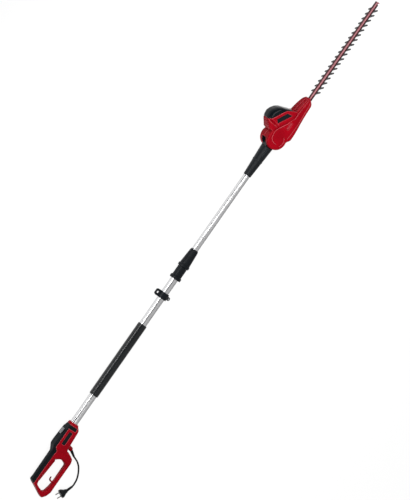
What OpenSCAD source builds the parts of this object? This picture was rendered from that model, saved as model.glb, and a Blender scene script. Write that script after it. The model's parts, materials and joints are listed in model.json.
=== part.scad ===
// Pole hedge trimmer with a telescopic pole, a D-handle and a tilting motor head.
// It lies on its side: +X runs along the pole to the blade tip, +Y to the tool's top, +Z up.
// Inside at_pole() the origin is the handle's rear end on the pole's axis.

/* [Pole] */
// Outer diameter of the outer tube
outer_tube_d = 32; // [28:0.5:33]
// Outer diameter of the sliding inner tube
inner_tube_d = 28; // [26.5:0.25:28.5]
// Wall of both tubes
tube_wall = 1.4; // [1:0.1:1.7]
// Free pole between the handle's collar and the foam grip
foam_start = 138; // [60:1:200]
// Length of the foam grip
foam_len = 353; // [200:1:420]
// Outer diameter of the foam grip
foam_d = 40; // [37:0.5:46]
// Free pole between the foam grip and the strap clamp
clamp_gap = 130; // [100:1:180]
// Free pole between the strap clamp and the telescopic lock
lock_gap = 68; // [50:1:120]
// Visible length of the inner tube when the pole is drawn out
inner_visible = 370; // [300:1:450]
// Length of inner tube that stays in the outer tube
tube_overlap = 110; // [60:1:140]

/* [Handle] */
// Length of the handle with its collar
handle_len = 330; // [320:1:345]
// Depth of the D-loop below the pole's axis
loop_drop = 93; // [86:1:110]
// Thickness of the loop's lower bar
loop_bar = 15; // [11:0.5:18]
// Half width of the loop
loop_half_w = 15; // [12:0.5:18]
// Height of the grip's top above the pole's axis
grip_top = 16; // [14:0.5:20]
// Half width of the grip
grip_half_w = 17; // [15:0.5:20]
// Height of the hump over the switch above the pole's axis
hump_top = 29; // [27:0.5:34]
// Half width of the handle's body
body_half_w = 26; // [24:0.5:30]
// Length of the handle's collar
collar_len = 13; // [10:0.5:18]
// Diameter of the collar's mouth
collar_d = 42.6; // [39:0.2:46]
// Length of pole held in the handle
tube_seat = 66; // [60:1:72]
// Width of the trigger
trigger_w = 16; // [10:0.5:17]
// Length of the lock-off slider's knob
slider_len = 27; // [20:1:30]
// Travel of the lock-off slider
slider_travel = 6; // [3:0.5:6]

/* [Cord] */
// Diameter of the mains cord
cord_d = 7.3; // [5:0.1:8]
// Diameter of the plug's face
plug_d = 37; // [34:0.5:38]
// Diameter of a plug pin
plug_pin_d = 4.8; // [3:0.1:6]
// Spacing of the plug's pins
plug_pin_pitch = 19; // [16:0.5:20]
// Length of a plug pin
plug_pin_len = 19; // [15:0.5:22]

/* [Strap clamp] */
// Width of the strap clamp along the pole
clamp_w = 28.6; // [22:0.2:34]
// Outer diameter of the clamp's ring
clamp_d = 43; // [39:0.5:48]
// Diameter of the hole for the strap's hook
eyelet_d = 11; // [8:0.5:14]
// Height of the eyelet's centre above the pole's axis
eyelet_rise = 30.5; // [29:0.5:36]

/* [Telescopic lock] */
// Length of the lock
lock_len = 146; // [130:1:160]
// Length of the lock's fixed body
lock_body_len = 59; // [45:1:70]
// Diameter of the lock's body
lock_d = 41.5; // [39:0.5:46]
// Diameter of the lock's two rings
lock_ring_d = 51; // [46:0.5:56]

/* [Joint] */
// Length from the black arm's rear end to the tilt pivot
arm_len = 189; // [160:1:220]
// Diameter of the arm's rear end
arm_rear_d = 33.6; // [32.5:0.2:36]
// Diameter of the arm where the fork begins
arm_front_d = 50; // [44:0.5:52]
// Width of the slot between the head's two cheeks
fork_slot = 37; // [30:0.5:40]
// Radius of the head's round cheeks
cheek_r = 44; // [42:0.5:46]
// Radius of the arm's hub
hub_r = 30; // [26:0.5:31]
// Diameter of the pivot bolt
pivot_d = 10; // [8:0.5:12]
// Greatest tilt of the head towards the tool's top
tilt_up = 30; // [15:5:30]
// Greatest tilt of the head the other way
tilt_down = 75; // [45:5:75]
// Travel of the tilt lock's button
button_travel = 5; // [3:0.5:6]

/* [Head] */
// Width of the head
head_w = 80; // [76:1:84]
// Length from the tilt pivot to the front of the nose
nose_len = 217; // [212:1:226]
// Height of the motor cap's top above the pole's axis
cap_top = 93; // [90:1:98]

/* [Motor and gear] */
// Distance from the tilt pivot to the motor's shaft
motor_x = 76; // [74:0.5:79]
// Diameter of the motor's stator
stator_d = 58; // [50:0.5:60]
// Diameter of the armature
armature_d = 33; // [28:0.5:36]
// Diameter of the motor's shaft
motor_shaft_d = 8; // [6:0.5:9]
// Teeth of the pinion
pinion_teeth = 10; // [10:1:12]
// Teeth of the drive gear
gear_teeth = 60; // [52:2:60]
// Module of the gears
gear_module = 1; // [0.8:0.05:1]
// Width of the drive gear
gear_w = 8; // [5:0.5:9]
// Diameter of the gear's shaft
gear_shaft_d = 10; // [8:0.5:10]
// Throw of each eccentric, half a blade's stroke
throw = 6; // [4:0.5:6]

/* [Blades] */
// Visible length of the blade guard in front of the nose
guard_len = 484; // [300:1:600]
// Depth of the blades' meeting plane below the pole's axis
blade_depth = 40.15; // [39:0.05:41]
// Thickness of one blade
blade_t = 2; // [1.5:0.1:2.4]
// Width of a blade's spine
spine_w = 22; // [18:0.5:26]
// Distance between teeth
tooth_pitch = 24; // [20:0.5:30]
// Height of the teeth's tips from the blade's centre line
tooth_reach = 34.6; // [28:0.2:38]
// Distance from the nose to the first tooth
first_tooth = 35; // [28:0.5:50]
// Bare guard past the last tooth
tip_bare = 41; // [38:0.5:60]
// Thickness of the red guard bar
guard_t = 4.4; // [3:0.1:5]

/* [Fits] */
// Radial clearance of a running fit
run = 0.06; // [0.03:0.01:0.1]
// Clearance between pieces that move past each other
clear = 0.4; // [0.3:0.05:0.5]
// Clearance between pieces of one body
seat = 0.05; // [0.02:0.01:0.1]

/* [Hidden] */
$fn = 64;
eps = 0.01;

// Places along the pole, counted from the handle's rear end
x_collar = handle_len;
x_foam = x_collar + foam_start;
x_clamp = x_foam + foam_len + clamp_gap;
x_lock = x_clamp + clamp_w + lock_gap;
x_lock_end = x_lock + lock_len;
x_arm = x_lock_end + inner_visible;
x_pivot = x_arm + arm_len;
x_nose = x_pivot + nose_len;
x_tip = x_nose + guard_len;

// Where the handle's rear end lies in the part's frame
rear = [-x_tip / 2, (loop_drop - cap_top) / 2, head_w / 2];

outer_r = outer_tube_d / 2;
outer_bore = outer_r - tube_wall;
inner_r = inner_tube_d / 2;
inner_bore = inner_r - tube_wall;

module at_pole() {
  translate(rear) children();
}

module at_head() {
  translate(rear + [x_pivot, 0, 0]) children();
}

// ---------- shapes used in several places ----------

module rod_x(r, x0, x1) {
  translate([x0, 0, 0]) rotate([0, 90, 0]) cylinder(r = r, h = x1 - x0);
}

module cone_x(r0, r1, x0, x1) {
  translate([x0, 0, 0]) rotate([0, 90, 0]) cylinder(r1 = r0, r2 = r1, h = x1 - x0);
}

module ring_x(r_out, r_in, x0, x1) {
  difference() {
    rod_x(r_out, x0, x1);
    rod_x(r_in, x0 - 1, x1 + 1);
  }
}

module rod_y(r, y0, y1) {
  translate([0, y0, 0]) rotate([-90, 0, 0]) cylinder(r = r, h = y1 - y0);
}

module ring_y(r_out, r_in, y0, y1) {
  difference() {
    rod_y(r_out, y0, y1);
    rod_y(r_in, y0 - 1, y1 + 1);
  }
}

module rod_z(r, z0, z1) {
  translate([0, 0, z0]) cylinder(r = r, h = z1 - z0);
}

module slab(x0, x1, y0, y1, z0, z1) {
  translate([x0, y0, z0]) cube([x1 - x0, y1 - y0, z1 - z0]);
}

// A side outline, extruded across the tool
module side(points, z0, z1) {
  translate([0, 0, z0]) linear_extrude(z1 - z0) polygon(points);
}

// A plan outline of X and Z, extruded along Y from y0 to y1
module plan(y0, y1) {
  translate([0, y1, 0]) rotate([90, 0, 0]) linear_extrude(y1 - y0) children();
}

// A solid through rings with equally many points; a looped one has no ends
module loft(rings, looped = false) {
  n = len(rings[0]);
  m = len(rings);
  spans = looped ? m : m - 1;
  walls = [
    for (j = [0:spans - 1], i = [0:n - 1])
      let (a = j * n + i, b = j * n + (i + 1) % n, c = (j + 1) % m * n)
        each [[a, b, c + (i + 1) % n], [a, c + (i + 1) % n, c + i]]
  ];
  ends = looped ? [] : [[for (i = [n:-1:1]) i % n], [for (i = [0:n - 1]) (m - 1) * n + i]];
  polyhedron(points = [for (r = rings) each r], faces = concat(walls, ends));
}

// Half of a rounded section from u0 to u1, with half width w and corner radii r0 and r1
function half_section(u0, u1, w, r0, r1) = concat(
  [[u0, 0]],
  [for (a = [0:30:90]) [u0 + r0 * (1 - cos(a)), w - r0 * (1 - sin(a))]],
  [for (a = [0:30:90]) [u1 - r1 * (1 - sin(a)), w - r1 * (1 - cos(a))]],
  [[u1, 0]]
);

// Half of a section that is rounded below and flat on top
function lower_section(u0, u1, w, r) = concat(
  [[u0, 0]],
  [for (a = [0:30:90]) [u0 + r * (1 - cos(a)), w - r * (1 - sin(a))]],
  [[u1, w], [u1, 0]]
);

// Half of a section that is flat below and rounded on top
function upper_section(u0, u1, w, r) = concat(
  [[u0, 0], [u0, w]],
  [for (a = [0:22.5:90]) [u1 - r * (1 - sin(a)), w - r * (1 - cos(a))]],
  [[u1, 0]]
);

// The half section with its mirror image
function both_sides(half) = concat(
  half,
  [for (i = [len(half) - 2:-1:1]) [half[i][0], -half[i][1]]]
);

// A section put at x, with its first axis along Y
function ring_at(x, section) = [for (p = section) [x, p[0], p[1]]];

// A section put between an inner and an outer point of the side view
function ring_between(inner, outer, section) =
  let (d = (outer - inner) / norm(outer - inner))
    [for (p = section) [inner[0] + d[0] * p[0], inner[1] + d[1] * p[0], p[1]]];

// A tube along points, with one radius for each point
function tube_rings(path, radii, sides) = [
  for (i = [0:len(path) - 1])
    let (
      before = path[max(i - 1, 0)],
      after = path[min(i + 1, len(path) - 1)],
      t = (after - before) / norm(after - before),
      s = cross([0, 0, 1], t) / norm(cross([0, 0, 1], t)),
      u = cross(t, s)
    )
      [for (k = [0:sides - 1]) path[i] + radii[i] * (cos(360 * k / sides) * s - sin(360 * k / sides) * u)]
];

module tube_along(path, r, sides) {
  loft(tube_rings(path, [for (p = path) r], sides));
}

// Points of a coil spring round Z
function coil(r, z0, z1, turns, steps = 12) = [
  for (i = [0:turns * steps])
    [r * cos(360 * i / steps), r * sin(360 * i / steps), z0 + (z1 - z0) * i / (turns * steps)]
];

// ---------- handle ----------

hand_floor = -loop_drop + loop_bar;
body_floor = -36;
grip_floor = -14;
x_cover_front = handle_len - collar_len;
trigger_pivot = [54, -7];
plunger_x = 172;
plunger_top = -3;
tube_start = handle_len - tube_seat;
slider_x = 264;
clamp_x = tube_start - 23;
gland_x = 241;

// The black cover sits on the red shells along this line of the side view
grip_split = 1.7;
body_split = 18;
front_split = -18;
x_split_rise = 196;
x_wrap = x_cover_front - 16;

// Each station of the D-loop: inner point, outer point, half width, inner and outer radius
loop_stations = [
  [[175, -46], [217, -50], 23, 8, 8],
  [[171, -62], [209, -69], 19, 8, 8],
  [[165, -75], [200, -86], loop_half_w + 1, 7, 7],
  [[159, hand_floor], [184, -loop_drop], loop_half_w, 7, 7],
  [[84, hand_floor], [84, -loop_drop], loop_half_w, 7, 7],
  [[56, hand_floor + 3], [36, -loop_drop], loop_half_w, 7, 7],
  [[30, hand_floor + 10], [15, -loop_drop + 8], loop_half_w, 7, 7],
  [[24, -60], [0, -loop_drop + 22], loop_half_w, 7, 7],
  [[24.5, -54], [0, -64], loop_half_w + 0.5, 7, 7],
  [[30, -38], [14, -36], grip_half_w - 1, 7, 6],
  [[34.5, -25], [26.5, -12], grip_half_w, 7, 5],
  [[40, -17], [33, grip_split], grip_half_w, 8, 0.6],
  [[60, grip_floor], [58, grip_split], grip_half_w, 12, 0.6],
  [[150, grip_floor], [168, grip_split], grip_half_w, 12, 0.6],
  [[160, grip_floor - 4], [183, grip_split], grip_half_w + 2, 10, 0.6],
  [[171, -32], [x_split_rise, grip_split], body_half_w - 5, 10, 0.6],
  [[175, -40], [212, -20], body_half_w - 3, 10, 6]
];

// Each station of the red body: x, lower edge, upper edge, half width
body_stations = [
  [178, -36, grip_split - 0.2, grip_half_w + 1],
  [x_split_rise, -40, grip_split - 0.2, body_half_w - 4],
  [x_split_rise + 12, body_floor - 8, body_split - 2, body_half_w - 1.5],
  [x_split_rise + 17, body_floor - 6, body_split, body_half_w - 1],
  [228, body_floor - 2, body_split, body_half_w],
  [250, body_floor, body_split, body_half_w],
  [x_wrap, body_floor + 3, body_split, body_half_w - 1],
  [x_wrap + 0.6, body_floor + 3, front_split, body_half_w - 1],
  [x_cover_front - 5, body_floor + 4.5, front_split, body_half_w - 2],
  [x_cover_front, body_floor + 8, front_split, body_half_w - 3]
];

// Each station of the black cover: x, lower edge, upper edge, half width, radius
cover_stations = [
  [33.5, grip_split, grip_split + 1, grip_half_w - 0.5, 0.6],
  [42, grip_split, grip_top, grip_half_w, 8],
  [58, grip_split, grip_top, grip_half_w, 12],
  [183, grip_split, grip_top, grip_half_w + 2, 12],
  [x_split_rise, grip_split, 21, body_half_w - 4, 11],
  [x_split_rise + 12, body_split - 2, 27, body_half_w - 1.5, 9],
  [x_split_rise + 17, body_split, hump_top, body_half_w - 1, 10],
  [228, body_split, hump_top - 0.3, body_half_w, 10],
  [250, body_split, hump_top - 1.8, body_half_w, 9],
  [x_wrap, body_split, hump_top - 7, body_half_w - 1, 3.6],
  [x_wrap + 0.6, front_split, hump_top - 7, body_half_w - 1, 8],
  [x_cover_front - 5, front_split, hump_top - 9, body_half_w - 2, 9],
  [x_cover_front, front_split, hump_top - 9.5, body_half_w - 3, 10]
];

function chosen(half, full) = full ? both_sides(half) : half;

// The red half of the handle on the +Z side
module handle_form() {
  loft([
    for (s = loop_stations)
      ring_between(s[0], s[1], half_section(0, norm(s[1] - s[0]), s[2], s[3], s[4]))
  ], looped = true);
  loft([for (s = body_stations) ring_at(s[0], lower_section(s[1], s[2], s[3], 9))]);
}

trigger_outline = [
  [47, -15], [50, -2], [58, -2], [66, -7], [150, -12], [160, -13.5], [180, -13.5],
  [180, -17.5], [163, -18.5], [161, -23.5], [155, -25.5], [120, -22.5], [60, -17.5]
];

module handle_cavities() {
  // slot of the trigger, with room for its swing
  side([
    [44, -40], [44, 0], [60, 1.2], [183, 0], [183, -21], [166, -22.5], [166, -40]
  ], -trigger_w / 2 - clear, trigger_w / 2 + clear);
  // pocket of the switch, and the room for wires behind the pole's end
  slab(160, 196, plunger_top, 14, -9, 9);
  slab(184, tube_start - 0.5, -24, 15, -14, 14);
  // seat of the pole and channel of the lock-off slider
  rod_x(outer_r + seat, tube_start - 1, handle_len + 1);
  slab(slider_x - 14, slider_x + slider_len + 8, 16.6, 20.2, -8, 8);
  // pivot pin and its spring
  translate(trigger_pivot) rod_z(2.5 + seat, -12, 12);
  translate(trigger_pivot) rod_z(6.2, trigger_w / 2 - 1, trigger_w / 2 + 5);
}

handle_screw_spots = [[20, -72], [37, -4.5], [95, -85.5], [178, -80], [192, -56], [236, -29], [296, -24]];

module handle_half() {
  difference() {
    handle_form();
    handle_cavities();
  }
}

module handle_shell_left() {
  color("firebrick") at_pole() {
    difference() {
      handle_half();
      for (p = handle_screw_spots) translate(p) rod_z(1.7, -1, 8);
      plate_recess(0);
    }
  }
}

module handle_shell_right() {
  color("firebrick") at_pole() {
    difference() {
      mirror([0, 0, 1]) handle_half();
      for (p = handle_screw_spots) {
        translate(p) rod_z(1.9, -40, 1);
        translate(p) rod_z(3.8, -40, -8);
      }
    }
    cord_hook();
  }
}

// Hook inside the loop that takes the pull of an extension cord
module cord_hook() {
  hook_x = 77;
  root = hand_floor - 2;
  side([
    [hook_x - 4, root], [hook_x - 4, root + 14], [hook_x - 1, root + 20], [hook_x + 4, root + 24],
    [hook_x + 11, root + 25], [hook_x + 17, root + 24], [hook_x + 17, root + 18],
    [hook_x + 9, root + 18.5], [hook_x + 4.5, root + 15.5], [hook_x + 3.5, root + 12],
    [hook_x + 3.5, root]
  ], -5, -seat);
}

plate_spot = [232, -1.8];
plate_size = [60, 17];

// The bare plate's outline with rounded corners, grown by an edge
module plate_outline(grow) {
  hull() for (x = [4, plate_size[0] - 4], y = [-4.5, 4.5])
    translate(plate_spot + [x, y]) circle(r = 4 + grow, $fn = 32);
}

module plate_recess(grow) {
  translate([0, 0, body_half_w - 3.2]) linear_extrude(20) plate_outline(grow);
}

module handle_plate() {
  color("dimgray") at_pole()
    translate([0, 0, body_half_w - 3.2]) linear_extrude(2.2) plate_outline(-0.2);
}

module grip_cover() {
  color("#22262a") at_pole() {
    difference() {
      loft([for (s = cover_stations) ring_at(s[0], both_sides(upper_section(s[1], s[2], s[3], s[4])))]);
      handle_cavities();
      // opening for the neck of the lock-off slider
      slab(
        slider_x + 4 - clear, slider_x + slider_len - 4 + slider_travel + clear,
        15, 60, -4 - clear, 4 + clear
      );
    }
  }
}

module front_collar() {
  color("firebrick") at_pole() {
    difference() {
      loft([
        ring_at(
          x_cover_front,
          both_sides(half_section(body_floor + 8, hump_top - 9.5, body_half_w - 3, 9, 10))
        ),
        ring_at(
          handle_len - 4,
          both_sides(half_section(-collar_d / 2 - 1, collar_d / 2 - 0.5, collar_d / 2 + 0.4, 17, 17))
        ),
        ring_at(handle_len, both_sides(half_section(-collar_d / 2, collar_d / 2 - 1, collar_d / 2, 18, 18)))
      ]);
      rod_x(outer_r + seat, x_cover_front - 1, handle_len + 1);
    }
  }
}

module trigger() {
  color("firebrick") at_pole() {
    difference() {
      side(trigger_outline, -trigger_w / 2, trigger_w / 2);
      translate(trigger_pivot) rod_z(2.5 + run, -20, 20);
    }
  }
}

module trigger_pin() {
  color("silver") at_pole() translate(trigger_pivot) rod_z(2.5, -11.5, 11.5);
}

module trigger_spring() {
  color("silver") at_pole() translate(trigger_pivot)
    tube_along(coil(4.2, trigger_w / 2 + 1.1, trigger_w / 2 + 4.2, 3), 0.5, 6);
}

module switch_body() {
  color("#303336") at_pole() {
    difference() {
      slab(161, 195, plunger_top + seat, 13.9, -8.9, 8.9);
      translate([plunger_x, 0, 0]) rod_y(3 + run, plunger_top - 1, 12);
    }
    slab(195, 199, 1, 4, -6, -3);
    slab(195, 199, 1, 4, 3, 6);
  }
}

module switch_plunger() {
  color("white") at_pole() translate([plunger_x, 0, 0]) rod_y(3, -13, 3);
}

module lock_off_slider() {
  color("#4c5156") at_pole() {
    slab(slider_x - 4, slider_x + slider_len, 17, 19.8, -7, 7);
    slab(slider_x + 4, slider_x + slider_len - 4, 19, 28, -4, 4);
    difference() {
      side([
        [slider_x, 27], [slider_x + 3, 31], [slider_x + slider_len - 3, 30.5],
        [slider_x + slider_len, 26.6], [slider_x + slider_len, 26], [slider_x, 27]
      ], -7, 7);
      for (i = [1:5]) slab(slider_x + 4 * i, slider_x + 4 * i + 1.4, 30, 40, -8, 8);
    }
  }
}

module cable_clamp() {
  color("#303336") at_pole() {
    difference() {
      slab(clamp_x - 10, clamp_x + 10, -24 + seat, -12, -13.9, 13.9);
      translate([clamp_x, 0, 0]) rod_y(cord_d / 2 + seat, -30, 0);
    }
  }
}

module handle_screws() {
  color("silver") at_pole()
    for (p = handle_screw_spots) translate(p) {
      rod_z(1.65, -9, 7.5);
      rod_z(3.4, -11.5, -8 - seat);
    }
}

// ---------- cord and plug ----------

// Points of the cord, chosen by hand, in the frame of the handle's rear end
cord_route = [
  [211, -100, -16], [207, -112, -20], [203, -124, -25], [197, -138, -29.5], [186, -154, -33.5],
  [172, -167, -36], [156, -177, -36.3], [140, -184, -36.3], [125, -187.5, -36], [111, -187.5, -34],
  [100, -184.5, -31]
];
gland_root = [gland_x, -34, 2];
gland_tip = [231, -61, -4];
gland_r = 8;
gland_lip = 6;
plug_dir = [-0.87, 0.49, 0];
plug_entry = [76, -169, plug_d / 2 - head_w / 2];
plug_len = 32;
pin_seat = 13;

module along(from, to) {
  d = to - from;
  translate(from)
    rotate([0, acos(d[2] / norm(d)), atan2(d[1], d[0])])
      children();
}

module cord_gland() {
  color("firebrick") at_pole()
    difference() {
      along(gland_root, gland_tip) {
        cylinder(r = gland_r, h = norm(gland_tip - gland_root));
        translate([0, 0, norm(gland_tip - gland_root) - gland_lip])
          cylinder(r = gland_r + 1.4, h = gland_lip);
      }
      translate([0, -2 * seat, 0]) {
        handle_form();
        mirror([0, 0, 1]) handle_form();
      }
    }
}

module strain_relief() {
  l = norm(cord_route[0] - gland_tip);
  color("#1c1f22") at_pole()
    along(gland_tip, cord_route[0]) {
      difference() {
        cylinder(r1 = 6.8, r2 = 4.6, h = l);
        for (i = [0:4]) translate([0, 0, 8 + 7 * i]) difference() {
          cylinder(r = 12, h = 2.4);
          translate([0, 0, -1]) cylinder(r = 4.6, h = 5);
        }
      }
    }
}

module cord() {
  color("#1c1f22") at_pole() tube_along(cord_route, cord_d / 2, 8);
}

module at_plug() {
  at_pole() along(plug_entry, plug_entry + plug_dir) children();
}

module plug_relief() {
  color("#1c1f22") at_pole()
    along(cord_route[len(cord_route) - 1], plug_entry)
      cylinder(r1 = 4.4, r2 = 6, h = norm(plug_entry - cord_route[len(cord_route) - 1]));
}

module plug_body() {
  color("#1c1f22") at_plug()
    difference() {
      rotate_extrude() polygon([
        [0, 0], [6.5, 0], [8.5, 3], [10.5, 10], [plug_d / 2 - 1, plug_len - 11],
        [plug_d / 2, plug_len - 8], [plug_d / 2, plug_len - 1], [plug_d / 2 - 1, plug_len], [0, plug_len]
      ]);
      // the two side notches of a flat two-pin plug
      for (s = [-1, 1]) translate([s * plug_d / 2, 0, plug_len - 9]) cube([7, 9, 20], center = true);
      for (s = [-1, 1]) translate([0, s * plug_pin_pitch / 2, plug_len - pin_seat])
        cylinder(r = plug_pin_d / 2 - 0.4 + seat, h = 20);
    }
}

module plug_pins() {
  color("silver") at_plug()
    for (s = [-1, 1]) translate([0, s * plug_pin_pitch / 2, plug_len - pin_seat + seat]) {
      cylinder(r = plug_pin_d / 2 - 0.4, h = pin_seat + 1);
      translate([0, 0, pin_seat]) cylinder(r = plug_pin_d / 2, h = plug_pin_len - 1);
      translate([0, 0, pin_seat + plug_pin_len - 1])
        cylinder(r1 = plug_pin_d / 2, r2 = plug_pin_d / 2 - 0.8, h = 1);
    }
}

// ---------- pole ----------

module outer_tube() {
  color("silver") at_pole()
    ring_x(outer_r, outer_bore, tube_start, x_lock + lock_body_len - 14);
}

module foam_grip() {
  color("#26292c") at_pole()
    difference() {
      rotate([90, 0, 90]) rotate_extrude() polygon([
        [outer_r + seat, x_foam], [foam_d / 2 - 2, x_foam], [foam_d / 2, x_foam + 2],
        [foam_d / 2, x_foam + foam_len - 2], [foam_d / 2 - 2, x_foam + foam_len],
        [outer_r + seat, x_foam + foam_len]
      ]);
    }
}

clamp_mid = x_clamp + clamp_w / 2;
clamp_bolt_drop = clamp_d / 2 + 4;

module strap_clamp() {
  color("#1f2326") at_pole()
    difference() {
      union() {
        rod_x(clamp_d / 2, x_clamp, x_clamp + clamp_w);
        // lug with the eyelet
        slab(x_clamp, x_clamp + clamp_w, 0, eyelet_rise, -4.5, 4.5);
        translate([clamp_mid, eyelet_rise, 0]) intersection() {
          rod_z(clamp_w / 2, -4.5, 4.5);
          slab(-20, 20, -20, eyelet_d, -5, 5);
        }
        // ears of the bolt
        slab(clamp_mid - 8, clamp_mid + 8, -clamp_bolt_drop, 0, -9, 9);
        translate([clamp_mid, -clamp_bolt_drop, 0]) rod_z(8, -9, 9);
      }
      rod_x(outer_r + run, x_clamp - 1, x_clamp + clamp_w + 1);
      translate([clamp_mid, eyelet_rise, 0]) rod_z(eyelet_d / 2, -10, 10);
      // split between the ears
      slab(x_clamp - 1, x_clamp + clamp_w + 1, -clamp_d, 0, -1, 1);
      translate([clamp_mid, -clamp_bolt_drop, 0]) rod_z(2.5 + seat, -10, 10);
    }
}

module clamp_bolt() {
  color("silver") at_pole() translate([clamp_mid, -clamp_bolt_drop, 0]) {
    rod_z(2.5, -12, 12);
    rod_z(4.4, 9, 12.5);
    translate([0, 0, -13]) cylinder(r = 4.6, h = 4, $fn = 6);
  }
}

lock_r = lock_d / 2;
lock_ring_r = lock_ring_d / 2;
x_nut = x_lock + lock_body_len;
nut_gap = clear;

module lock_body() {
  color("#1d2124") at_pole()
    difference() {
      union() {
        rotate([90, 0, 90]) rotate_extrude() polygon([
          [0, x_lock], [lock_ring_r - 2, x_lock], [lock_ring_r, x_lock + 2.5],
          [lock_ring_r, x_lock + 11], [lock_ring_r - 2, x_lock + 14], [lock_r, x_lock + 16],
          [lock_r, x_nut - nut_gap], [0, x_nut - nut_gap]
        ]);
        // neck that carries the turning nut
        rod_x(outer_r + 1.6, x_nut - 1, x_nut + 26);
      }
      rod_x(outer_r + seat, x_lock - 1, x_nut - 14 + seat);
      rod_x(inner_r + 1.6, x_nut - 15, x_nut + 40);
    }
}

module lock_nut() {
  color("#1d2124") at_pole()
    difference() {
      rotate([90, 0, 90]) rotate_extrude() polygon([
        [0, x_nut], [lock_ring_r - 1.5, x_nut], [lock_ring_r, x_nut + 2],
        [lock_ring_r, x_nut + 11], [lock_ring_r - 1.5, x_nut + 13], [lock_r + 2, x_nut + 14],
        [lock_r - 2.5, x_lock_end - 8], [lock_r - 4.5, x_lock_end - 2], [lock_r - 5.5, x_lock_end],
        [0, x_lock_end]
      ]);
      rod_x(inner_r + clear, x_nut - 1, x_lock_end + 1);
      // thread room on the neck, then the cone that squeezes the collet
      rod_x(outer_r + 1.6 + clear, x_nut - 1, x_nut + 30);
      cone_x(outer_r + 1.4, inner_r + clear, x_nut + 30 - eps, x_lock_end - 20);
      // grip flutes
      for (i = [0:11]) rotate([i * 30, 0, 0])
        translate([0, lock_r + 4.2, 0]) rod_x(3, x_nut + 15, x_lock_end - 9);
    }
}

module collet() {
  color("#555a5f") at_pole()
    difference() {
      union() {
        rod_x(inner_r + 1.5, x_nut - 14, x_nut + 26);
        cone_x(inner_r + 2.4, inner_r + 0.9, x_nut + 26, x_lock_end - 30);
      }
      rod_x(inner_r + run, x_nut - 15, x_lock_end);
      for (a = [0, 90]) rotate([a, 0, 0])
        slab(x_nut + 10, x_lock_end, -30, 30, -0.7, 0.7);
    }
}

inner_start = x_lock - tube_overlap;

module inner_tube() {
  color("silver") at_pole() ring_x(inner_r, inner_bore, inner_start, x_arm + 58);
}

// Sleeve on the inner tube's rear end that guides it in the outer tube
module guide_bush() {
  color("#303336") at_pole() {
    ring_x(outer_bore - run, inner_r + seat, inner_start, inner_start + 24);
    ring_x(outer_bore - run, inner_bore, inner_start - 3, inner_start);
  }
}

coil_end = x_lock_end - 30;
coil_hole = 5.2;

// The curled cable that follows the pole's length, as a plain sleeve of its outer size
module coiled_cable() {
  color("#1c1f22") at_pole() {
    ring_x(9.5, coil_hole, tube_start - 26, coil_end);
    ring_x(outer_bore - seat, coil_hole, tube_start + 4, tube_start + 12);
  }
}

module inner_lead() {
  color("#1c1f22") at_pole() {
    rod_x(cord_d / 2, coil_end + clear, x_pivot - hub_r + 4);
    ring_x(inner_bore - seat, cord_d / 2 - eps, x_arm + 50, x_arm + 58);
  }
}

// ---------- tilting joint ----------

slot_half = fork_slot / 2;
hub_half = slot_half - clear;
arm_front = cheek_r + 2.5;
tongue_half = 19;

// Outline of the arm, turned round the pole's axis, up to the fork
module arm_turned() {
  ring = x_arm + 77;
  rotate([90, 0, 90]) rotate_extrude() polygon([
    [0, x_arm], [arm_rear_d / 2 - 1.5, x_arm], [arm_rear_d / 2, x_arm + 1.5],
    [21, ring - 4], [22.2, ring - 3], [22.2, ring + 1], [21.4, ring + 2],
    [arm_front_d / 2, x_pivot - arm_front - 2], [arm_front_d / 2 - 1.5, x_pivot - arm_front],
    [0, x_pivot - arm_front]
  ]);
}

module arm_solid() {
  at_pole() difference() {
    union() {
      arm_turned();
      slab(x_pivot - arm_front - 1, x_pivot - 12, -tongue_half, tongue_half, -hub_half, hub_half);
      translate([x_pivot, 0, 0]) rod_z(hub_r, -hub_half, hub_half);
    }
    rod_x(inner_r + seat, x_arm - 1, x_arm + 58 + seat);
    rod_x(cord_d / 2 + seat, x_arm + 50, x_pivot - hub_r + 4 + seat);
    translate([x_pivot, 0, 0]) {
      rod_z(pivot_d / 2 + run, -60, 60);
      // room for the lock's star and its spring
      rod_z(star_r + clear, -hub_half - 1, -hub_half + 11);
      for (a = [0:90:270]) rotate([0, 0, a + 45])
        slab(0, star_r + key_rise + clear, -2 - clear, 2 + clear, -hub_half - 1, -hub_half + 11);
    }
    // two long grooves along the near and far sides
    for (s = [-1, 1], y = [5, 14])
      slab(x_pivot - 92, x_pivot - 50, y, y + 2.4, s > 0 ? 20 : -30, s > 0 ? 30 : -20);
    for (x = [x_arm + 68, x_pivot - 62], y = [-15, 15]) translate([x, y, 0]) rod_z(1.5, -9, 9);
    for (x = [x_arm + 68, x_pivot - 62], y = [-15, 15]) translate([x, y, 0]) rod_z(3.2, -40, -9 + eps);
  }
}

star_r = 17;
key_rise = 2.5;

module arm_left() {
  color("#1f2428") intersection() {
    arm_solid();
    translate(rear) slab(0, x_tip, -60, 60, 0, 60);
  }
}

module arm_right() {
  color("#1f2428") intersection() {
    arm_solid();
    translate(rear) slab(0, x_tip, -60, 60, -60, 0);
  }
}

module arm_screws() {
  color("silver") at_pole()
    for (x = [x_arm + 68, x_pivot - 62], y = [-15, 15]) translate([x, y, 0]) {
      rod_z(1.4, -10, 8.5);
      rod_z(2.8, -12, -9 - seat);
    }
}

module pivot_bolt() {
  color("silver") at_head() {
    rod_z(pivot_d / 2, -15, head_w / 2 - 12);
    rod_z(8, head_w / 2 - 12, head_w / 2 - 7);
  }
}

star_teeth = 24;
button_face = -head_w / 2 + 1;
button_r = 13;
star_z = [-hub_half + 0.8, -hub_half + 4];

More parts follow.
